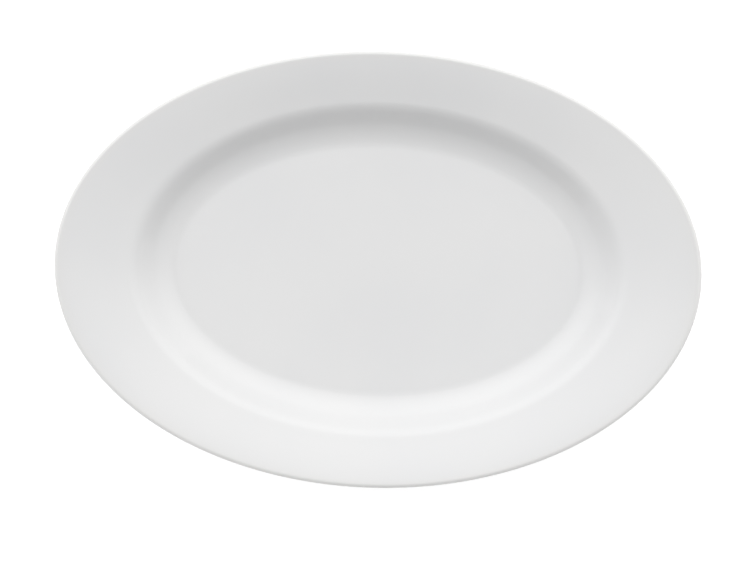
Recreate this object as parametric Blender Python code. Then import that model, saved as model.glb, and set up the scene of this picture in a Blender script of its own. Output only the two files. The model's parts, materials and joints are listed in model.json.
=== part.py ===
"""Oval china serving platter: a fired porcelain body, its glaze coat, and the glaze inside its foot ring.

Metres, +Z up. The platter stands on z = 0 with its long axis along X, centred on the origin.
Every surface is a loft of ellipses. A section is drawn once, in a plane, as points (out, up):
out is measured outwards from the edge of the well's flat floor, and up from the table.
"""

import math

import bmesh
import bpy
from mathutils import Matrix, Vector

# Overall sizes, over the glaze
LENGTH = 0.360
WIDTH = 0.243
HEIGHT = 0.0280

# The well: its flat floor, and the verge where its wall breaks into the rim
FLOOR_LENGTH = 0.2292
FLOOR_WIDTH = 0.1402
VERGE_LENGTH = 0.2730
VERGE_WIDTH = 0.1834
WELL_DEPTH = 0.0125

# Wall sections, over the glaze
BASE_THICKNESS = 0.0050
RIM_THICKNESS = 0.0042

# How the face bends
COVE_START = 0.12  # steepness where the cove leaves the floor, against the straight wall above it
COVE_SHARE = 0.80  # share of the wall's run over which the cove bends
RIM_EASE = 0.60  # steepness that the rim has lost where it meets the lip
RIM_EASE_POWER = 5  # how late along the rim it loses it
CREASE_REACH = 0.0012  # rounding on each side of the floor's edge
VERGE_REACH = 0.0032  # rounding on each side of the verge

# The foot ring
FOOT_HEIGHT = 0.0034
FOOT_BREADTH = 0.0054  # over the glaze
FOOT_FILLET = 0.0016  # rounding between each side of the foot and the underside
FOOT_LAND = 0.0005  # flat underside between the floor's edge and the foot's fillet
FOOT_CORNER = 0.0006  # rounding of the bare foot's two edges

# Glaze
GLAZE_THICKNESS = 0.0003
GLAZE_GAP = 0.0003  # clearance between the glaze and the body under it
GLAZE_STOP = 0.0012  # height above the table at which the glaze is wiped off the foot

# Finishes
BARE_COLOUR = (0.80, 0.78, 0.74)
BARE_ROUGHNESS = 0.6
GLAZE_COLOUR = (0.86, 0.86, 0.86)
GLAZE_ROUGHNESS = 0.12

# Fineness
SEGMENTS = 48  # sides round each ellipse
WALL_STEPS = 4
RIM_STEPS = 4
LIP_STEPS = 2
BEND_STEPS = 2
SHARP_DEGREES = 40

FLOOR_UP = FOOT_HEIGHT + BASE_THICKNESS
VERGE_UP = FLOOR_UP + WELL_DEPTH
LIP_RADIUS = RIM_THICKNESS / 2


def half(length, width):
    """The semi-axes of an ellipse of this length and width."""
    return Vector((length / 2, width / 2))


FLOOR = half(FLOOR_LENGTH, FLOOR_WIDTH)
VERGE = half(VERGE_LENGTH, VERGE_WIDTH)
RIM_END = half(LENGTH, WIDTH) - Vector((LIP_RADIUS, LIP_RADIUS))
WALL_RUN = sum(VERGE - FLOOR) / 2
RIM_RUN = sum(RIM_END - VERGE) / 2
RIM_RISE = HEIGHT - VERGE_UP


def semi_axes(out):
    """Half the length and half the width of the ellipse at a distance out from the floor's edge."""
    if out <= 0:
        return FLOOR + Vector((out, out))
    if out <= WALL_RUN:
        return FLOOR.lerp(VERGE, out / WALL_RUN)
    if out <= WALL_RUN + RIM_RUN:
        return VERGE.lerp(RIM_END, (out - WALL_RUN) / RIM_RUN)
    past = out - WALL_RUN - RIM_RUN
    return RIM_END + Vector((past, past))


# Drawing the section


def wall(share):
    """A point of the well's wall, at a share of its run from the floor's edge to the verge.

    Its steepness grows evenly along the cove, then stays as it is up to the verge.
    """
    bent = min(share, COVE_SHARE)
    gained = (1 - COVE_START) * (bent * bent / (2 * COVE_SHARE) + share - bent)
    whole = COVE_START + (1 - COVE_START) * (1 - COVE_SHARE / 2)
    rise = (COVE_START * share + gained) / whole
    return Vector((WALL_RUN * share, FLOOR_UP + WELL_DEPTH * rise))


def rim(share):
    """A point of the rim's face, at a share of its run from the verge to the lip.

    It is straight at first, and eases towards level near the lip.
    """
    eased = RIM_EASE / (RIM_EASE_POWER + 1)
    rise = (share - eased * share ** (RIM_EASE_POWER + 1)) / (1 - eased)
    return Vector((WALL_RUN + RIM_RUN * share, VERGE_UP + RIM_RISE * rise))


def lip_slope():
    """The angle of the rim's face to the table where it meets the lip."""
    eased = (1 - RIM_EASE) / (1 - RIM_EASE / (RIM_EASE_POWER + 1))
    return math.atan(eased * RIM_RISE / RIM_RUN)


def bend(start, corner, end):
    """A rounded corner: points on the parabola from start to end that is tangent to both sides."""
    shares = [step / BEND_STEPS for step in range(BEND_STEPS + 1)]
    return [start.lerp(corner, s).lerp(corner.lerp(end, s), s) for s in shares]


def arc(centre, radius, first, last, steps):
    """Points on a circle from the first angle to the last, in radians from the outward direction."""
    angles = [first + (last - first) * step / steps for step in range(steps + 1)]
    return [centre + radius * Vector((math.cos(a), math.sin(a))) for a in angles]


def face():
    """The eating surface over the glaze, from the floor's edge up the wall and out to the lip."""
    crease = CREASE_REACH / WALL_RUN
    below = 1 - VERGE_REACH / WALL_RUN
    beyond = VERGE_REACH / RIM_RUN
    points = bend(Vector((-CREASE_REACH, FLOOR_UP)), wall(0), wall(crease))
    points += [wall(crease + (below - crease) * step / WALL_STEPS) for step in range(1, WALL_STEPS)]
    points += bend(wall(below), wall(1), rim(beyond))
    points += [rim(beyond + (1 - beyond) * step / RIM_STEPS) for step in range(1, RIM_STEPS)]
    return points


def lip():
    """The rounded edge over the glaze, from the rim's face round to its underside."""
    centre = Vector((WALL_RUN + RIM_RUN, HEIGHT - LIP_RADIUS))
    quarter = math.radians(90)
    start = arc(centre, LIP_RADIUS, quarter + lip_slope(), quarter, 1)
    outer = arc(centre, LIP_RADIUS, quarter, 0, LIP_STEPS)
    under = arc(centre, LIP_RADIUS, 0, lip_slope() - quarter, LIP_STEPS)
    return start[:-1] + outer[:-1] + under


def thickness(out):
    """The section's thickness over the glaze, at a distance out from the floor's edge."""
    share = max(out, 0.0) / (WALL_RUN + RIM_RUN)
    return BASE_THICKNESS + (RIM_THICKNESS - BASE_THICKNESS) * share


def normals(points):
    """The unit normals to the left of a run of points, each square to its two neighbours' chord."""
    ends = [points[0], *points, points[-1]]
    along = [(after - before).normalized() for before, after in zip(ends, ends[2:])]
    return [Vector((-step.y, step.x)) for step in along]


def underside():
    """The underside over the glaze, from the lip down to the floor's edge, parallel to the face."""
    front = [point for point in face() if point.x > 0]
    back = [point - thickness(point.x) * n for point, n in zip(front, normals(front))]
    return back[::-1]


def foot_outer():
    """The foot's outer side over the glaze, from its fillet down to where the glaze stops."""
    centre = Vector((-FOOT_LAND, FOOT_HEIGHT - FOOT_FILLET))
    side = arc(centre, FOOT_FILLET, math.radians(90), math.radians(180), BEND_STEPS)
    return side + [Vector((side[-1].x, GLAZE_STOP))]


def foot_inner():
    """The foot's inner side over the glaze, from where the glaze stops up to the recessed base."""
    side_out = -FOOT_LAND - FOOT_FILLET - FOOT_BREADTH
    centre = Vector((side_out - FOOT_FILLET, FOOT_HEIGHT - FOOT_FILLET))
    side = arc(centre, FOOT_FILLET, 0, math.radians(90), BEND_STEPS)
    return [Vector((side_out, GLAZE_STOP))] + side


def inset(points, depth):
    """A run of points moved a depth into the porcelain, which lies to its right."""
    return [point - depth * n for point, n in zip(points, normals(points))]


def outside():
    """The glazed surface from the floor's edge, over the lip, to where the glaze stops on the foot."""
    return face() + lip() + underside() + foot_outer()


# Lofting


def loft(name, section):
    """An object lofted through one ellipse at each point of a section, closed by its two end faces.

    Each facet is split along its shorter diagonal.
    """
    shape = bmesh.new()
    circle = bmesh.ops.create_circle(shape, cap_ends=True, segments=SEGMENTS, radius=1)
    ring = shape.edges[:]
    move_ring(shape, circle["verts"], Vector((1, 1)), semi_axes(section[0].x), section[0].y)
    for before, point in zip(section, section[1:]):
        made = bmesh.ops.extrude_edge_only(shape, edges=ring)["geom"]
        ring = [item for item in made if isinstance(item, bmesh.types.BMEdge)]
        verts = [item for item in made if isinstance(item, bmesh.types.BMVert)]
        move_ring(shape, verts, semi_axes(before.x), semi_axes(point.x), point.y - before.y)
    bmesh.ops.contextual_create(shape, geom=ring)
    bmesh.ops.recalc_face_normals(shape, faces=shape.faces)
    bmesh.ops.triangulate(shape, faces=shape.faces, quad_method="SHORT_EDGE")
    mesh = bpy.data.meshes.new(name)
    shape.to_mesh(mesh)
    shape.free()
    mesh.shade_smooth()
    mesh.set_sharp_from_angle(angle=math.radians(SHARP_DEGREES))
    return bpy.data.objects.new(name, mesh)


def move_ring(shape, verts, axes_before, axes, rise):
    """Stretches a ring of vertices from one ellipse to the next, and lifts it."""
    grow = (axes.x / axes_before.x, axes.y / axes_before.y, 1)
    bmesh.ops.scale(shape, vec=grow, verts=verts)
    bmesh.ops.translate(shape, vec=(0, 0, rise), verts=verts)


# Finishes


def finish(name, colour, roughness):
    """A material that isn't a metal, of one colour and roughness."""
    material = bpy.data.materials.new(name)
    material.use_nodes = True
    shader = material.node_tree.nodes["Principled BSDF"]
    shader.inputs["Base Color"].default_value = (*colour, 1)
    shader.inputs["Roughness"].default_value = roughness
    shader.inputs["Metallic"].default_value = 0
    material.diffuse_color = (*colour, 1)
    return material


# The pieces


def porcelain_body():
    """The pressed and fired body, with its foot ring: inset under the glaze, bare where it stands."""
    depth = GLAZE_THICKNESS + GLAZE_GAP
    outer = inset(outside(), depth)
    inner = inset(foot_inner(), depth)
    outer_corner = Vector((outer[-1].x - FOOT_CORNER, FOOT_CORNER))
    inner_corner = Vector((inner[0].x + FOOT_CORNER, FOOT_CORNER))
    foot = arc(outer_corner, FOOT_CORNER, 0, math.radians(-90), BEND_STEPS)
    foot += arc(inner_corner, FOOT_CORNER, math.radians(-90), math.radians(-180), BEND_STEPS)
    body = loft("porcelain_body", outer + foot + inner)
    body.data.materials.append(finish("bare_porcelain", BARE_COLOUR, BARE_ROUGHNESS))
    return body


def glaze(name, section):
    """A skin of fired glaze: its section is the glazed surface and the same run inset, end to end."""
    skin = loft(name, section)
    skin.data.materials.append(finish(name, GLAZE_COLOUR, GLAZE_ROUGHNESS))
    return skin


def glaze_coat():
    """The glaze over the face, the lip and the underside, down to the wiped foot."""
    return glaze("glaze_coat", outside() + inset(outside(), GLAZE_THICKNESS)[::-1])


def base_glaze():
    """The glaze on the recessed base, up to the wiped foot."""
    return glaze("base_glaze", inset(foot_inner(), GLAZE_THICKNESS)[::-1] + foot_inner())


def main():
    """Clears the scene and makes the platter's three pieces in a collection of their own."""
    for old in list(bpy.data.objects):
        bpy.data.objects.remove(old)
    platter = bpy.data.collections.new("oval_serving_platter")
    bpy.context.scene.collection.children.link(platter)
    for piece in (porcelain_body(), glaze_coat(), base_glaze()):
        platter.objects.link(piece)


main()
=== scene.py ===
"""An oval china serving platter: its fired body and its two areas of glaze, in a plain white studio.

Metres, +Z up. The platter stands on z = 0, centred on the origin, with its long axis along X.
Every surface is a section carried round an oval: see Outline.
"""

import json
import logging
import math
from dataclasses import dataclass, field
from enum import Enum
from typing import Any

import bpy
import numpy as np
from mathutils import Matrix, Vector
from numpy.typing import NDArray


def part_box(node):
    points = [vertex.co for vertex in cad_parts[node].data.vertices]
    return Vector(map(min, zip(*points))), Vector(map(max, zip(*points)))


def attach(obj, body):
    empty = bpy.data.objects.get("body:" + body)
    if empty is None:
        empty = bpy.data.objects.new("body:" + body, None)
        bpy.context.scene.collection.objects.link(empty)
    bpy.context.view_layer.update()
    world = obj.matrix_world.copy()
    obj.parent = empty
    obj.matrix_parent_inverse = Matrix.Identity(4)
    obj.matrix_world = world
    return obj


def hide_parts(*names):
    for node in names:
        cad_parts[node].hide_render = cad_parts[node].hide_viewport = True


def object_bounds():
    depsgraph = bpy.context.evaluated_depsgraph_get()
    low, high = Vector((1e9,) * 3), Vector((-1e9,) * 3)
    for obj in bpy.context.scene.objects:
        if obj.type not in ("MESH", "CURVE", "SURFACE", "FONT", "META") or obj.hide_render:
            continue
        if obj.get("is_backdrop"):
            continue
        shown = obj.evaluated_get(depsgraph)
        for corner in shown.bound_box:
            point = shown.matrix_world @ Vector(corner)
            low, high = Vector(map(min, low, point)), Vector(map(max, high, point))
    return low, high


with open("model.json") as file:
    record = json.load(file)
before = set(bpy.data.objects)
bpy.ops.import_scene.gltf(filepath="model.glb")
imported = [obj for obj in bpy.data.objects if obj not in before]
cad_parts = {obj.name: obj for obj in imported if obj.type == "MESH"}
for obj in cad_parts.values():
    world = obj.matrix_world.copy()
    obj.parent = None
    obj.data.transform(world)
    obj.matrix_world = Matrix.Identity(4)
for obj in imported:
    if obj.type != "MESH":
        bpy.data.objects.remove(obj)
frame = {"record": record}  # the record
cad_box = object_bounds()

log = logging.getLogger("platter")

Points = NDArray[np.float64]
Numbers = NDArray[np.int64]
Colour = tuple[float, float, float]
Range = tuple[float, float]

ROOT = "root"
THINNING = "thinning"  # the points' attribute that says how far the glaze has drawn away from the lip


class Slot(Enum):
    """The record's material slots."""

    BARE = "bare_porcelain"
    GLAZE = "white_glaze"


# Drawing a section


def bend(start: Points, corner: Points, end: Points, steps: int) -> Points:
    """A rounded corner, the parabola (1-s)^2 start + 2s(1-s) corner + s^2 end.

    Args:
        start: Where the rounding leaves the first side.
        corner: Where the two sides would meet.
        end: Where the rounding joins the second side.
        steps: How many steps it is drawn in.

    Returns:
        The points from start to end, one a row.
    """
    share = np.linspace(0, 1, steps + 1)[:, None]
    return (1 - share) ** 2 * start + 2 * share * (1 - share) * corner + share**2 * end


def arc(centre: tuple[float, float], radius: float, first: float, last: float, steps: int) -> Points:
    """A round stretch, centre + radius (cos a, sin a).

    Args:
        centre: The circle's centre, as (out, up).
        radius: The circle's radius.
        first: The first angle, in degrees from the outward direction.
        last: The last angle.
        steps: How many steps it is drawn in.

    Returns:
        The points from the first angle to the last, one a row.
    """
    angle = np.radians(np.linspace(first, last, steps + 1))
    return np.array(centre) + radius * np.stack([np.cos(angle), np.sin(angle)], axis=1)


def joined(*runs: Points) -> Points:
    """One run made of several, each of which starts where the one before it ends."""
    return np.vstack([runs[0], *[run[1:] for run in runs[1:]]])


def inset(points: Points, depth: float | Points) -> Points:
    """A run of points moved into the porcelain, which lies to its right.

    Each point moves square to the chord between its two neighbours.

    Args:
        points: The run, one point a row.
        depth: How far it moves, one number or one for each point.

    Returns:
        The moved run.
    """
    ends = np.vstack([points[:1], points, points[-1:]])
    along = ends[2:] - ends[:-2]
    along /= np.linalg.norm(along, axis=1, keepdims=True)
    right = np.stack([along[:, 1], -along[:, 0]], axis=1)
    return points + np.reshape(depth, (-1, 1)) * right


def ring_quads(number: Numbers) -> list[list[int]]:
    """The quads between neighbouring rings of points.

    Args:
        number: The points' numbers, one closed ring a row.

    Returns:
        The four point numbers of each quad.
    """
    turned = np.roll(number, -1, axis=1)
    quads = np.stack([number[:-1], number[1:], turned[1:], turned[:-1]], axis=-1)
    return quads.reshape(-1, 4).tolist()


def ring_fan(pole: int, ring: Numbers) -> list[list[int]]:
    """The triangles from one point to each side of a closed ring.

    Args:
        pole: The point's number.
        ring: The ring's point numbers.

    Returns:
        The three point numbers of each triangle.
    """
    return np.stack([np.full(len(ring), pole), ring, np.roll(ring, -1)], axis=1).tolist()


@dataclass(frozen=True)
class Outline:
    """The platter's glazed outline: one section, carried round an oval.

    A section is a run of points (out, up). Out is measured outwards from the edge of the well's flat
    floor, and up from the table. Each point becomes an ellipse, with the semi-axes that semi_axes gives.
    """

    length: float
    width: float
    height: float
    floor_up: float
    well_depth: float = 0.0125
    floor_length: float = 0.2292
    floor_width: float = 0.1402
    floor_sink: float = 0.00026  # how far the floor has sunk at its edge
    sink_reach: float = 0.012  # over what breadth
    verge_length: float = 0.2730
    verge_width: float = 0.1834
    rim_thickness: float = 0.0042
    cove_start: float = 0.08  # steepness where the cove leaves the floor, against the straight wall
    cove_share: float = 0.667  # share of the wall's run over which the cove bends
    line_share: float = 0.555  # where along the wall the faint turning line runs
    line_breadth: float = 0.035  # its breadth, as a share of the wall's run
    line_step: float = 0.12  # steepness that the wall gains across it
    rim_ease: float = 0.45  # steepness that the rim has lost where it meets the lip
    rim_ease_power: int = 3  # how late along the rim it loses it
    crease_reach: float = 0.0016  # rounding on each side of the floor's edge
    verge_reach: float = 0.0032  # rounding on each side of the verge
    axes_reach: float = 0.0080  # rounding, at the verge, of how the oval's length and width grow
    foot_height: float = 0.0034
    foot_breadth: float = 0.0054  # over the glaze
    foot_fillet: float = 0.0016
    foot_land: float = 0.0005  # flat underside between the floor's edge and the foot's fillet
    glaze_stop: float = 0.0012  # height above the table at which the glaze is wiped off the foot
    floor_steps: int = 10
    bend_steps: int = 10
    wall_steps: int = 36
    rim_steps: int = 18
    lip_steps: int = 18

    @property
    def floor(self) -> Points:
        """The semi-axes of the floor's edge."""
        return np.array([self.floor_length, self.floor_width]) / 2

    @property
    def verge(self) -> Points:
        """The semi-axes of the verge, where the wall breaks into the rim."""
        return np.array([self.verge_length, self.verge_width]) / 2

    @property
    def rim_end(self) -> Points:
        """The semi-axes of the lip's crest."""
        return (np.array([self.length, self.width]) - self.rim_thickness) / 2

    @property
    def wall_run(self) -> float:
        """The distance out from the floor's edge to the verge."""
        return float(np.mean(self.verge - self.floor))

    @property
    def rim_run(self) -> float:
        """The distance out from the verge to the lip's crest."""
        return float(np.mean(self.rim_end - self.verge))

    @property
    def lip_out(self) -> float:
        """The distance out of the lip's crest."""
        return self.wall_run + self.rim_run

    @property
    def rim_rise(self) -> float:
        """How far the lip's crest stands above the verge."""
        return self.height - self.floor_up - self.well_depth

    def semi_axes(self, out: Points) -> Points:
        """Half the length and half the width of the oval at each distance out.

        Between the floor's edge, the verge and the lip each grows in a straight stretch, and elsewhere
        by as much as out does. At a distance d from the verge the change of rate from one stretch to
        the next is rounded by adding change * (reach - |d|)^2 / (4 reach).

        Args:
            out: The distances out from the floor's edge.

        Returns:
            One row of two semi-axes for each distance.
        """
        out = np.reshape(out, (-1, 1))
        wall_rate = (self.verge - self.floor) / self.wall_run
        rim_rate = (self.rim_end - self.verge) / self.rim_run
        past = out - self.wall_run
        axes = self.floor + np.minimum(out, 0) + wall_rate * np.clip(out, 0, self.wall_run)
        axes = axes + rim_rate * np.clip(past, 0, self.rim_run) + np.maximum(past - self.rim_run, 0)
        near = np.maximum(self.axes_reach - np.abs(past), 0)
        return axes + (rim_rate - wall_rate) * near**2 / (4 * self.axes_reach)

    def well_floor(self, share: Points) -> Points:
        """Points of the floor near its edge, which sinks as the square of the share.

        Args:
            share: Shares of the sinking stretch, from its inner end to the floor's edge.

        Returns:
            The points, one a row.
        """
        up = self.floor_up - self.floor_sink * share**2
        return np.stack([self.sink_reach * (share - 1), up], axis=-1)

    def wall(self, share: float | Points) -> Points:
        """Points of the well's wall.

        The steepness at a share t of the run grows evenly along the cove and then stays, and the
        turning line adds step * (1 + tanh((t - line) / breadth)) / 2. The height is its integral, which
        has the closed form below, scaled so that the wall rises by the well's depth.

        Args:
            share: Shares of the run, from the floor's edge to the verge.

        Returns:
            The points, one a row.
        """
        rise = self.steepness_sum(share) / self.steepness_sum(1.0)
        up = self.floor_up - self.floor_sink + (self.well_depth + self.floor_sink) * rise
        return np.stack([self.wall_run * share, up], axis=-1)

    def steepness_sum(self, share: float | Points) -> Points:
        """The integral of the wall's steepness, with c for the cove's share of the run.

        The even growth along the cove sums to t^2 / (2c) up to c, and to t - c/2 past it. The turning
        line's part is (t + breadth (ln cosh((t - line) / breadth) - ln cosh(line / breadth))) / 2.

        Args:
            share: Shares t of the wall's run.

        Returns:
            The integral from the floor's edge to each share.
        """
        bent = np.minimum(share, self.cove_share)
        cove = bent**2 / (2 * self.cove_share) + share - bent
        bends = [np.log(np.cosh((at - self.line_share) / self.line_breadth)) for at in (share, 0.0)]
        line = (share + self.line_breadth * (bends[0] - bends[1])) / 2
        cove_step = 1 - self.cove_start - self.line_step
        return self.cove_start * share + cove_step * cove + self.line_step * line

    def rim(self, share: float | Points) -> Points:
        """Points of the rim's face, whose height at a share t of its run goes as t - e t^(power+1).

        Args:
            share: Shares of the run, from the verge to the lip's crest.

        Returns:
            The points, one a row.
        """
        eased = self.rim_ease / (self.rim_ease_power + 1)
        rise = (share - eased * share ** (self.rim_ease_power + 1)) / (1 - eased)
        up = self.floor_up + self.well_depth + self.rim_rise * rise
        return np.stack([self.wall_run + self.rim_run * share, up], axis=-1)

    @property
    def lip_slope(self) -> float:
        """The angle of the rim's face to the table where it meets the lip, in degrees."""
        eased = (1 - self.rim_ease) / (1 - self.rim_ease / (self.rim_ease_power + 1))
        return math.degrees(math.atan(eased * self.rim_rise / self.rim_run))

    def face(self) -> Points:
        """The eating surface: the floor near its edge, up the wall and out to the lip.

        Returns:
            The points, one a row.
        """
        crease = self.crease_reach / self.wall_run
        before = 1 - self.crease_reach / self.sink_reach
        below = 1 - self.verge_reach / self.wall_run
        beyond = self.verge_reach / self.rim_run
        floor = self.well_floor(np.linspace(0, before, self.floor_steps + 1))
        return joined(
            floor,
            bend(floor[-1], self.wall(0.0), self.wall(crease), self.bend_steps),
            self.wall(np.linspace(crease, below, self.wall_steps + 1)),
            bend(self.wall(below), self.wall(1.0), self.rim(beyond), self.bend_steps),
            self.rim(np.linspace(beyond, 1, self.rim_steps + 1)[:-1]),
        )

    def lip(self) -> Points:
        """The rounded edge, from the rim's face over the crest and round to the underside.

        Returns:
            The points, one a row.
        """
        radius = self.rim_thickness / 2
        centre = (self.lip_out, self.height - radius)
        return arc(centre, radius, 90 + self.lip_slope, self.lip_slope - 90, self.lip_steps)

    def underside(self) -> Points:
        """The underside from the lip in to the floor's edge, as far under the face as it is thick.

        The thickness changes evenly from the base's at the floor's edge to the rim's at the lip.

        Returns:
            The points, one a row.
        """
        face = self.face()
        base_thickness = self.floor_up - self.floor_sink - self.foot_height
        share = np.clip(face[:, 0] / self.lip_out, 0, 1)
        back = inset(face, base_thickness + (self.rim_thickness - base_thickness) * share)
        return back[face[:, 0] > 0][::-1]

    def foot_outer(self) -> Points:
        """The foot's outer side, from its fillet down to where the glaze stops.

        Returns:
            The points, one a row.
        """
        centre = (-self.foot_land, self.foot_height - self.foot_fillet)
        fillet = arc(centre, self.foot_fillet, 90, 180, self.bend_steps)
        return np.vstack([fillet, [[fillet[-1, 0], self.glaze_stop]]])

    def foot_inner(self) -> Points:
        """The foot's inner side, from where the glaze stops up to the recessed base.

        Returns:
            The points, one a row.
        """
        side = -self.foot_land - self.foot_fillet - self.foot_breadth
        centre = (side - self.foot_fillet, self.foot_height - self.foot_fillet)
        fillet = arc(centre, self.foot_fillet, 0, 90, self.bend_steps)
        return np.vstack([[[side, self.glaze_stop]], fillet])

    def outside(self) -> Points:
        """The glazed surface from the floor's edge, over the lip, to where the glaze stops."""
        return np.vstack([self.face(), self.lip(), self.underside(), self.foot_outer()])


@dataclass(frozen=True)
class Warp:
    """How far firing has let the rim lift and sink round the oval: a fraction of a millimetre."""

    twofold: float = 0.00012
    threefold: float = 0.00007
    twofold_turn: float = 0.9  # radians
    threefold_turn: float = 2.3

    def lift(self, share: Points, angle: Points) -> Points:
        """How far each point of a grid is lifted.

        The lift is share^2 (a cos(2 angle + p) + b cos(3 angle + q)).

        Args:
            share: How far out each ring lies, from 0 at the floor's edge to 1 at the lip.
            angle: The angle of each point round the oval.

        Returns:
            The lift of each ring's points, one ring a row.
        """
        waves = self.twofold * np.cos(2 * angle + self.twofold_turn)
        waves = waves + self.threefold * np.cos(3 * angle + self.threefold_turn)
        return share[:, None] ** 2 * waves[None, :]


@dataclass(frozen=True)
class Loft:
    """Carries a section round the oval, and closes it at a pole in the middle of each end."""

    outline: Outline
    warp: Warp = field(default_factory=Warp)
    segments: int = 300
    pole_rings: int = 10

    def mesh(self, name: str, section: Points) -> bpy.types.Mesh:
        """A closed mesh with its faces pointing out.

        A point at angle a of the oval through (out, up) is (A cos a, B sin a, up + lift), where A and B
        are the semi-axes. Between each end ring and its pole, further rings shrink evenly to the middle.

        Args:
            name: The mesh's name.
            section: The run of points, from the top of the middle outwards and back underneath.

        Returns:
            The mesh, which holds each point's thinning of the glaze as an attribute.
        """
        axes = self.outline.semi_axes(section[:, 0])
        shrink = np.linspace(1, 0, self.pole_rings + 2)[1:-1, None]
        axes = np.vstack([(shrink * axes[0])[::-1], axes, shrink * axes[-1]])
        ends = [np.full(self.pole_rings, run) for run in (section[0, 1], section[-1, 1])]
        up = np.concatenate([ends[0], section[:, 1], ends[1]])
        middle = np.zeros(self.pole_rings)
        out = np.concatenate([middle, section[:, 0], middle])
        share = np.clip(out / self.outline.lip_out, 0, 1)

        angle = np.linspace(0, 2 * np.pi, self.segments, endpoint=False)
        grid = np.empty((len(up), self.segments, 3))
        grid[..., 0] = axes[:, :1] * np.cos(angle)
        grid[..., 1] = axes[:, 1:] * np.sin(angle)
        grid[..., 2] = up[:, None] + self.warp.lift(share, angle)
        poles = np.array([[0, 0, up[0]], [0, 0, up[-1]]])
        points = np.vstack([grid.reshape(-1, 3), poles])

        mesh = bpy.data.meshes.new(name)
        mesh.from_pydata(points.tolist(), [], self.faces(len(up)))
        mesh.shade_smooth()
        self.write_thinning(mesh, out)
        return mesh

    def faces(self, rings: int) -> list[list[int]]:
        """The quads between neighbouring rings, and the triangles from each end ring to its pole.

        Args:
            rings: How many rings of points there are; the two poles come after them.

        Returns:
            The point numbers of each face, in the order that points the face out.
        """
        number = np.arange(rings * self.segments).reshape(rings, self.segments)
        top = number.size
        return ring_quads(number) + ring_fan(top, number[0]) + ring_fan(top + 1, number[-1][::-1])

    def write_thinning(self, mesh: bpy.types.Mesh, out: Points) -> None:
        """Writes how much the glaze has drawn away from each point: exp(-(d / reach)^2) from the lip.

        Args:
            mesh: The mesh to write to.
            out: Each ring's distance out.
        """
        reach = self.outline.rim_thickness
        ring = np.exp(-(((out - self.outline.lip_out - reach / 2) / reach) ** 2))
        values = np.concatenate([np.repeat(ring, self.segments), [0.0, 0.0]])
        attribute = mesh.attributes.new(THINNING, "FLOAT", "POINT")
        attribute.data.foreach_set("value", values.astype(np.float32))


# Materials

SPECK_CORE = 0.6  # share of a speck's radius that has its full colour
SHARP = 1e-4  # breadth of a step that is as good as sharp


class Value:
    """A number on a socket. Arithmetic on it adds Math nodes."""

    def __init__(self, recipe: "Recipe", socket: bpy.types.NodeSocket) -> None:
        """Keeps the socket and the recipe that it belongs to."""
        self.recipe = recipe
        self.socket = socket

    def __add__(self, other: "Value | float") -> "Value":
        """This plus other."""
        return self.recipe.maths("ADD", self, other)

    def __rsub__(self, other: float) -> "Value":
        """Other less this."""
        return self.recipe.maths("SUBTRACT", other, self)

    def __mul__(self, other: "Value | float") -> "Value":
        """This times other."""
        return self.recipe.maths("MULTIPLY", self, other)

    __radd__ = __add__
    __rmul__ = __mul__

    def positive(self) -> "Value":
        """This where it is above 0, and 0 elsewhere."""
        return self.recipe.maths("MAXIMUM", self, 0.0)

    def band(self, low: float, high: float) -> "Value":
        """0 up to low, 1 from high, and a smooth step between them.

        Args:
            low: The value up to which it is 0.
            high: The value from which it is 1.

        Returns:
            The stepped value.
        """
        settings = {"interpolation_type": "SMOOTHSTEP"}
        inputs = {"Value": self, "From Min": low, "From Max": high}
        return Value(self.recipe, self.recipe.node("ShaderNodeMapRange", settings, inputs).outputs[0])


Input = Value | bpy.types.NodeSocket | float | tuple[float, ...]


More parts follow.
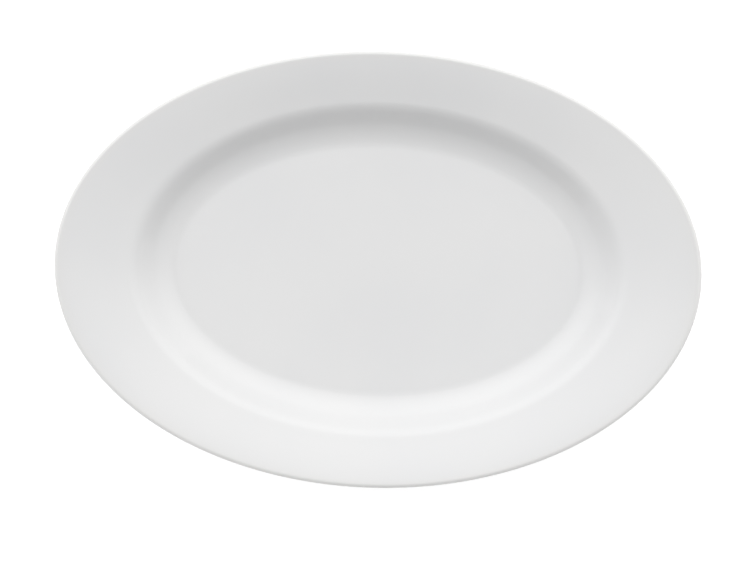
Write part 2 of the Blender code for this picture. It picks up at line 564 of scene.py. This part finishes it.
class Recipe:
    """The nodes of a material or of the surroundings."""

    def __init__(self, owner: bpy.types.Material | bpy.types.World, space: str) -> None:
        """Starts with the owner's own nodes, and the coordinates that its patterns read.

        Args:
            owner: The material or the world.
            space: The coordinates' name.
        """
        owner.use_nodes = True
        self.tree = owner.node_tree
        self.place = self.node("ShaderNodeTexCoord").outputs[space]

    def node(
        self,
        kind: str,
        settings: dict[str, Any] | None = None,
        inputs: dict[str | int, Input] | None = None,
    ) -> bpy.types.Node:
        """Adds a node.

        Args:
            kind: The node's type.
            settings: The node's own settings, which are set first.
            inputs: The value or the link of each socket, by name or number.

        Returns:
            The node.
        """
        node = self.tree.nodes.new(kind)
        for name, setting in (settings or {}).items():
            setattr(node, name, setting)
        self.feed(node, inputs or {})
        return node

    def feed(self, node: bpy.types.Node, inputs: dict[str | int, Input]) -> None:
        """Links or sets a node's sockets.

        Args:
            node: The node.
            inputs: The value or the link of each socket, by name or number.
        """
        for name, given in inputs.items():
            given = given.socket if isinstance(given, Value) else given
            if isinstance(given, bpy.types.NodeSocket):
                self.tree.links.new(given, node.inputs[name])
            else:
                node.inputs[name].default_value = given

    def maths(self, operation: str, first: Value | float, second: Value | float) -> Value:
        """One number worked out from two."""
        inputs = {0: first, 1: second}
        return Value(self, self.node("ShaderNodeMath", {"operation": operation}, inputs).outputs[0])

    def noise(self, size: float, detail: float = 2.0, place: Input | None = None) -> Value:
        """A cloudy pattern from 0 to 1, whose blots are about as wide as size, in metres."""
        inputs = {"Vector": place or self.place, "Scale": 1 / size, "Detail": detail}
        return Value(self, self.node("ShaderNodeTexNoise", None, inputs).outputs[0])

    def specks(self, spacing: float, radius: float, kept: float) -> Value:
        """Round specks, 1 inside and 0 outside, in some of the cells of a scattered pattern.

        Args:
            spacing: The cells' width.
            radius: The specks' radius.
            kept: The share of the cells that has a speck.

        Returns:
            The pattern.
        """
        cells = self.node("ShaderNodeTexVoronoi", None, {"Vector": self.place, "Scale": 1 / spacing})
        reach = radius / spacing
        inside = 1 - Value(self, cells.outputs["Distance"]).band(SPECK_CORE * reach, reach)
        lot = self.node("ShaderNodeSeparateColor", None, {0: cells.outputs["Color"]})
        return inside * Value(self, lot.outputs[0]).band(1 - kept, 1 - kept + SHARP)

    def axes(self) -> tuple[Value, Value, Value]:
        """The place's x, y and z."""
        parts = self.node("ShaderNodeSeparateXYZ", None, {0: self.place})
        return tuple(Value(self, part) for part in parts.outputs)

    def distance(self, place: Input) -> Value:
        """A place's distance from the origin."""
        length = self.node("ShaderNodeVectorMath", {"operation": "LENGTH"}, {0: place})
        return Value(self, length.outputs["Value"])

    def attribute(self, name: str) -> Value:
        """The number that each point of the mesh holds under a name."""
        return Value(self, self.node("ShaderNodeAttribute", {"attribute_name": name}).outputs["Fac"])

    def stretched(self, turn: float, scale: tuple[float, float, float]) -> bpy.types.NodeSocket:
        """The place for a pattern that is stretched along each axis and then turned about +Z.

        Args:
            turn: The angle, in degrees.
            scale: How far it is stretched along each axis.

        Returns:
            The changed place.
        """
        turned = (0.0, 0.0, math.radians(turn))
        inputs = {"Vector": self.place, "Rotation": turned, "Scale": scale}
        return self.node("ShaderNodeMapping", {"vector_type": "TEXTURE"}, inputs).outputs[0]

    def blend(self, share: Value, first: Input, second: Input) -> bpy.types.NodeSocket:
        """The colour that lies a share of the way from the first to the second.

        Args:
            share: The share.
            first: The colour at 0.
            second: The colour at 1.

        Returns:
            The blended colour.
        """
        pair = [(*c, 1.0) if isinstance(c, tuple) and len(c) == 3 else c for c in (first, second)]
        inputs = {0: share, 6: pair[0], 7: pair[1]}
        return self.node("ShaderNodeMix", {"data_type": "RGBA"}, inputs).outputs[2]

    def bump(self, height: Value, depth: float) -> bpy.types.NodeSocket:
        """The normal of a surface whose relief is depth metres where height goes from 0 to 1."""
        inputs = {"Height": height, "Distance": depth, "Strength": 1.0}
        return self.node("ShaderNodeBump", None, inputs).outputs[0]


class Surface(Recipe):
    """The nodes of one material, which has one Principled shader."""

    def __init__(self, name: str) -> None:
        """Starts a material, whose patterns read the piece's own coordinates.

        Args:
            name: The material's name.
        """
        self.material = bpy.data.materials.new(name)
        super().__init__(self.material, "Object")
        self.shader = self.tree.nodes["Principled BSDF"]

    def finish(self, inputs: dict[str | int, Input]) -> bpy.types.Material:
        """Links or sets the shader's sockets, and hands over the material."""
        self.feed(self.shader, inputs)
        return self.material


@dataclass(frozen=True)
class WhiteGlaze:
    """Fired white glaze: glossy, with a faint unevenness of tone, gloss and level."""

    name: str
    colour: Colour = (0.860, 0.860, 0.860)
    cool: Colour = (0.842, 0.844, 0.848)  # where the glaze lies thicker
    thin: Colour = (0.835, 0.826, 0.808)  # where the body shows through at the lip
    speck: Colour = (0.60, 0.56, 0.50)
    roughness: float = 0.075
    haze: float = 0.06  # roughness that the hazier places gain
    wear: float = 0.10  # roughness that the fine marks of use gain
    ior: float = 1.52
    thinned: float = 0.5  # how far the colour goes to the thin one at the lip
    pool_size: float = 0.080
    pool_detail: float = 3.0
    pool_band: Range = (0.35, 0.70)  # part of the cloudy pattern over which the glaze gets thicker
    haze_size: float = 0.022
    haze_detail: float = 4.0
    haze_band: Range = (0.40, 0.75)
    ripple_size: float = 0.011
    ripple_detail: float = 1.0
    ripple_depth: float = 0.000010
    peel_size: float = 0.0016
    peel_depth: float = 0.0000012
    speck_spacing: float = 0.030
    speck_radius: float = 0.00022
    speck_share: float = 0.30
    speck_strength: float = 0.55
    mark_turns: Range = (24.0, 103.0)  # the two ways that the marks of use run, in degrees from +X
    mark_width: float = 0.0011
    mark_stretch: float = 28.0  # a mark's length against its width
    mark_detail: float = 1.0
    mark_band: Range = (0.70, 0.78)
    patch_size: float = 0.045  # of the patches that have marks
    patch_band: Range = (0.45, 0.65)

    def material(self) -> bpy.types.Material:
        """The finish as a material.

        Returns:
            The material.
        """
        recipe = Surface(self.name)
        pooled = recipe.noise(self.pool_size, self.pool_detail).band(*self.pool_band)
        colour = recipe.blend(pooled, self.colour, self.cool)
        colour = recipe.blend(recipe.attribute(THINNING) * self.thinned, colour, self.thin)
        dots = recipe.specks(self.speck_spacing, self.speck_radius, self.speck_share)
        colour = recipe.blend(dots * self.speck_strength, colour, self.speck)

        hazy = recipe.noise(self.haze_size, self.haze_detail).band(*self.haze_band)
        marks = self.marks(recipe, self.mark_turns[0]) + self.marks(recipe, self.mark_turns[1])
        roughness = self.roughness + self.haze * hazy + self.wear * marks

        ripple = recipe.noise(self.ripple_size, self.ripple_detail)
        level = ripple * self.ripple_depth + recipe.noise(self.peel_size) * self.peel_depth
        return recipe.finish({
            "Base Color": colour,
            "Roughness": roughness,
            "Normal": recipe.bump(level, 1.0),
            "IOR": self.ior,
        })

    def marks(self, recipe: Recipe, turn: float) -> Value:
        """The fine marks of use that run one way.

        Args:
            recipe: The material's nodes.
            turn: The way they run, in degrees from +X.

        Returns:
            A pattern from 0 to 1 that is 0 nearly everywhere.
        """
        drawn = recipe.stretched(turn, (self.mark_stretch, 1.0, self.mark_stretch))
        threads = recipe.noise(self.mark_width, self.mark_detail, drawn)
        return threads.band(*self.mark_band) * recipe.noise(self.patch_size).band(*self.patch_band)


@dataclass(frozen=True)
class BarePorcelain:
    """Fired porcelain with no glaze: fine and matte, a little grey where it has stood."""

    name: str
    colour: Colour = (0.80, 0.78, 0.74)
    rubbed: Colour = (0.66, 0.64, 0.60)
    grit: Colour = (0.52, 0.49, 0.45)
    roughness: float = 0.52
    grain: float = 0.16  # roughness that the grain adds
    ior: float = 1.5
    grain_size: float = 0.0009
    grain_detail: float = 4.0
    grain_depth: float = 0.000018
    rub_size: float = 0.012
    rub_detail: float = 5.0
    rub_band: Range = (0.42, 0.68)  # part of the cloudy pattern over which the greying sets in
    rub_strength: float = 0.7
    grit_spacing: float = 0.0030
    grit_radius: float = 0.00018
    grit_share: float = 0.35
    grit_strength: float = 0.5

    def material(self) -> bpy.types.Material:
        """The finish as a material.

        Returns:
            The material.
        """
        recipe = Surface(self.name)
        grain = recipe.noise(self.grain_size, self.grain_detail)
        rubbed = recipe.noise(self.rub_size, self.rub_detail).band(*self.rub_band)
        colour = recipe.blend(rubbed * self.rub_strength, self.colour, self.rubbed)
        grit = recipe.specks(self.grit_spacing, self.grit_radius, self.grit_share)
        colour = recipe.blend(grit * self.grit_strength, colour, self.grit)
        return recipe.finish({
            "Base Color": colour,
            "Roughness": self.roughness + self.grain * grain,
            "Normal": recipe.bump(grain, self.grain_depth),
            "IOR": self.ior,
        })


@dataclass(frozen=True)
class PaleBoard:
    """The studio floor: a white board that glows softly, a painted light, except where the platter
    stands on it, where the missing glow is a painted shadow.
    """

    length: float  # of the oval that the platter covers
    width: float
    name: str = "pale_board"
    colour: Colour = (0.90, 0.90, 0.90)
    shade: Colour = (0.885, 0.885, 0.885)
    cloud_size: float = 0.35
    cloud_detail: float = 3.0
    painted_shadow_glow: Colour = (0.0, 0.0, 0.0)
    glow: Colour = (0.46, 0.46, 0.46)
    painted_shadow_share: float = 0.80  # share of the oval within which the board doesn't glow: a painted shadow under the platter
    glow_share: float = 0.97  # share of the oval past which it glows fully
    roughness: float = 0.8

    def material(self) -> bpy.types.Material:
        """The finish as a material.

        Returns:
            The material.
        """
        recipe = Surface(self.name)
        oval = recipe.stretched(0.0, (self.length / 2, self.width / 2, 1.0))
        # painted shadow: no glow in an oval under the platter, fading to the full glow round it
        lit = recipe.distance(oval).band(self.painted_shadow_share, self.glow_share)
        glow = recipe.blend(lit, self.painted_shadow_glow, self.glow)
        clouds = recipe.noise(self.cloud_size, self.cloud_detail)
        return recipe.finish({
            "Base Color": recipe.blend(clouds, self.colour, self.shade),
            "Roughness": self.roughness,
            "Emission Color": glow,
            "Emission Strength": 1.0,
        })


# The pieces


@dataclass
class Piece:
    """What the platter's three pieces share."""

    outline: Outline
    name: str
    stands_for: str
    slot: Slot
    loft: Loft = field(init=False)

    def __post_init__(self) -> None:
        """Makes the loft that carries this piece's section round."""
        self.loft = Loft(self.outline)

    def section(self) -> Points:
        """The closed section, from the top of the middle outwards and back underneath."""
        raise NotImplementedError

    def material(self) -> bpy.types.Material:
        """The piece's finish."""
        raise NotImplementedError

    def build(self) -> bpy.types.Object:
        """Makes the piece, dresses it and puts it in place of its CAD node.

        Returns:
            The piece's object, at the origin.
        """
        mesh = self.loft.mesh(self.name, self.section())
        mesh.materials.append(self.material())
        piece = bpy.data.objects.new(self.name, mesh)
        bpy.context.scene.collection.objects.link(piece)
        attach(piece, ROOT)
        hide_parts(self.stands_for)
        log.info("%s: %d faces, stands for %s", self.name, len(mesh.polygons), self.stands_for)
        return piece


@dataclass
class FiredBody(Piece):
    """The pressed and fired body with its foot ring, which is bare where it stands."""

    name: str = "fired_body"
    stands_for: str = "porcelain_body"
    slot: Slot = Slot.BARE
    glaze_thickness: float = 0.0003
    clearance: float = 0.00008  # to the glaze over it
    foot_corner: float = 0.0006
    corner_steps: int = 8

    def section(self) -> Points:
        """The body's section: the outline inset under the glaze, and the bare foot.

        Returns:
            The points, one a row.
        """
        depth = self.glaze_thickness + self.clearance
        outer = inset(self.outline.outside(), depth)
        inner = inset(self.outline.foot_inner(), depth)
        corner = self.foot_corner
        outer_corner = (outer[-1, 0] - corner, corner)
        inner_corner = (inner[0, 0] + corner, corner)
        return np.vstack([
            outer,
            arc(outer_corner, corner, 0, -90, self.corner_steps),
            arc(inner_corner, corner, -90, -180, self.corner_steps),
            inner,
        ])

    def material(self) -> bpy.types.Material:
        """Bare porcelain."""
        return BarePorcelain("bare_porcelain").material()


@dataclass
class GlazeSkin(Piece):
    """A skin of fired glaze, which ends in a rounded bead where it has been wiped off the foot."""

    thickness: float = 0.0003
    bead_steps: int = 8

    def bead(self, centre_out: float) -> Points:
        """The rounded end of the skin, hanging from its outer side to its inner side."""
        centre = (centre_out, self.outline.glaze_stop)
        return arc(centre, self.thickness / 2, 0, -180, self.bead_steps)

    def material(self) -> bpy.types.Material:
        """White glaze."""
        return WhiteGlaze(self.name).material()


@dataclass
class GlazeCoat(GlazeSkin):
    """The glaze over the face, the lip and the underside, down to the wiped foot."""

    name: str = "glazed_face_and_underside"
    stands_for: str = "glaze_coat"
    slot: Slot = Slot.GLAZE

    def section(self) -> Points:
        """The coat's section: the outline, the bead, and the outline's inner side coming back.

        The inner side is hidden, so it has every second point only, and the bead stands for its end.

        Returns:
            The points, one a row.
        """
        outer = self.outline.outside()
        inner = inset(outer, self.thickness)[:-1:2][::-1]
        bead = self.bead(outer[-1, 0] - self.thickness / 2)
        return np.vstack([outer[:-1], bead, inner])


@dataclass
class BaseGlaze(GlazeSkin):
    """The glaze on the recessed base, up to the wiped foot."""

    name: str = "glazed_base"
    stands_for: str = "base_glaze"
    slot: Slot = Slot.GLAZE

    def section(self) -> Points:
        """The base's section: its upper side, the bead, and its lower side coming back.

        Returns:
            The points, one a row.
        """
        lower = self.outline.foot_inner()
        upper = inset(lower, self.thickness)[::-1]
        return np.vstack([upper[:-1], self.bead(lower[0, 0] + self.thickness / 2), lower[1:]])


# The studio


@dataclass(frozen=True)
class Softbox:
    """A rectangular light that faces the platter."""

    name: str
    azimuth: float  # where it stands, in degrees from +X towards +Y
    radiance: float
    elevation: float = 20.0  # how high it stands, in degrees above the table
    distance: float = 1.6
    width: float = 2.0
    height: float = 0.45

    def build(self) -> bpy.types.Object:
        """Makes the light.

        Returns:
            The light's object.
        """
        lamp = bpy.data.lights.new(self.name, "AREA")
        lamp.shape = "RECTANGLE"
        lamp.size, lamp.size_y = self.width, self.height
        lamp.energy = self.radiance * math.pi * self.width * self.height
        light = bpy.data.objects.new(self.name, lamp)
        turn, lift = math.radians(self.azimuth), math.radians(self.elevation)
        away = Vector((math.cos(turn) * math.cos(lift), math.sin(turn) * math.cos(lift), math.sin(lift)))
        light.location = away * self.distance
        light.rotation_mode = "QUATERNION"
        light.rotation_quaternion = away.to_track_quat("Z", "Y")
        light.visible_camera = False
        bpy.context.scene.collection.objects.link(light)
        log.info("%s: radiance %.2f", self.name, self.radiance)
        return light


@dataclass(frozen=True)
class Room:
    """A white room, lit softly from its far side and from both ends.

    The light from a direction (x, y, z) is base + low_far y+ + z+ (far y+ + right x+ + left (-x)+),
    where + keeps what is above 0.
    """

    name: str = "white_room"
    base: float = 0.11
    low_far: float = 0.25
    far: float = 2.43
    right: float = 1.55
    left: float = 1.83
    backdrop: float = 1.0  # what shows past the board

    def build(self) -> bpy.types.World:
        """Makes the surroundings and hands them to the scene.

        Returns:
            The world.
        """
        world = bpy.data.worlds.new(self.name)
        recipe = Recipe(world, "Generated")
        x, y, z = recipe.axes()
        sides = self.right * x.positive() + self.left * (-1 * x).positive()
        low = self.base + self.low_far * y.positive()
        light = low + (self.far * y.positive() + sides) * z.positive()
        white = (1.0, 1.0, 1.0, 1.0)
        lit = recipe.node("ShaderNodeBackground", None, {"Color": white, "Strength": light})
        seen = recipe.node("ShaderNodeBackground", None, {"Color": white, "Strength": self.backdrop})
        path = recipe.node("ShaderNodeLightPath").outputs["Is Camera Ray"]
        inputs = {0: path, 1: lit.outputs[0], 2: seen.outputs[0]}
        choice = recipe.node("ShaderNodeMixShader", None, inputs)
        recipe.feed(recipe.tree.nodes["World Output"], {0: choice.outputs[0]})
        bpy.context.scene.world = world
        log.info("%s: base %.2f", self.name, self.base)
        return world


@dataclass
class Studio:
    """A pale board under the platter, white surroundings, and the softboxes."""

    outline: Outline
    board_radius: float = 20.0
    board_sides: int = 96
    board_rings: int = 6
    room: Room = field(default_factory=Room)
    softboxes: tuple[Softbox, ...] = (
        Softbox("left_softbox", azimuth=190, radiance=0.37),
        Softbox("right_softbox", azimuth=20, radiance=0.42),
    )

    def build(self) -> None:
        """Makes the board, the surroundings and the lights."""
        self.board()
        self.room.build()
        for softbox in self.softboxes:
            softbox.build()

    def board(self) -> bpy.types.Object:
        """Makes the floor, a flat disc whose rings lie at radius R (k / n)^2.

        Returns:
            The floor's object.
        """
        rings = self.board_rings
        angle = np.linspace(0, 2 * np.pi, self.board_sides, endpoint=False)
        radius = self.board_radius * (np.arange(1, rings + 1) / rings) ** 2
        grid = radius[:, None, None] * np.stack([np.cos(angle), np.sin(angle), 0 * angle], axis=1)
        points = np.vstack([grid.reshape(-1, 3), [[0, 0, 0]]])
        number = np.arange(rings * self.board_sides).reshape(rings, self.board_sides)
        mesh = bpy.data.meshes.new("pale_floor")
        mesh.from_pydata(points.tolist(), [], ring_quads(number) + ring_fan(number.size, number[0]))
        mesh.materials.append(PaleBoard(self.outline.length, self.outline.width).material())
        floor = bpy.data.objects.new("pale_floor", mesh)
        bpy.context.scene.collection.objects.link(floor)
        floor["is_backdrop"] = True
        return floor


@dataclass(frozen=True)
class PlanCamera:
    """A camera that looks straight down on the platter."""

    above_lip: float = 0.9828
    turn: float = 1.61  # degrees about the line of sight, which rolls the platter clockwise
    right: float = -0.00175  # how far the camera stands to the right of the platter's middle
    up: float = -0.00636
    focal_length: float = 85.0  # millimetres
    sensor: float = 36.0
    nearest: float = 0.01  # what it shows lies between these two distances
    furthest: float = 50.0

    def build(self, lip_up: float) -> bpy.types.Object:
        """Makes the camera and hands it to the scene.

        Args:
            lip_up: The height of the platter's lip above the table.

        Returns:
            The camera's object.
        """
        data = bpy.data.cameras.new("plan_camera")
        data.lens, data.sensor_width = self.focal_length, self.sensor
        data.clip_start, data.clip_end = self.nearest, self.furthest
        camera = bpy.data.objects.new("plan_camera", data)
        turn = math.radians(self.turn)
        camera.rotation_euler = (0, 0, turn)
        camera.location = (
            self.right * math.cos(turn) - self.up * math.sin(turn),
            self.right * math.sin(turn) + self.up * math.cos(turn),
            lip_up + self.above_lip,
        )
        bpy.context.scene.collection.objects.link(camera)
        bpy.context.scene.camera = camera
        return camera


def mount_height(name: str) -> float:
    """The height above the table of one of the record's mounts."""
    return next(mount["pos_m"][2] for mount in frame["record"]["mounts"] if mount["name"] == name)


def main() -> None:
    """Builds the camera, the platter's three pieces and the studio."""
    logging.basicConfig(level=logging.INFO, format="%(name)s: %(message)s")
    bpy.context.scene.view_settings.view_transform = "Standard"
    low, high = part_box("glaze_coat")
    outline = Outline(
        length=high.x - low.x,
        width=high.y - low.y,
        height=high.z,
        floor_up=mount_height("well_floor"),
    )
    PlanCamera().build(outline.height)
    for piece in (FiredBody(outline), GlazeCoat(outline), BaseGlaze(outline)):
        piece.build()
    Studio(outline).build()
    boxes = {"cad": cad_box, "visual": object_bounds()}
    {name: [list(corner) for corner in box] for name, box in boxes.items()}


if __name__ == "__main__":
    main()
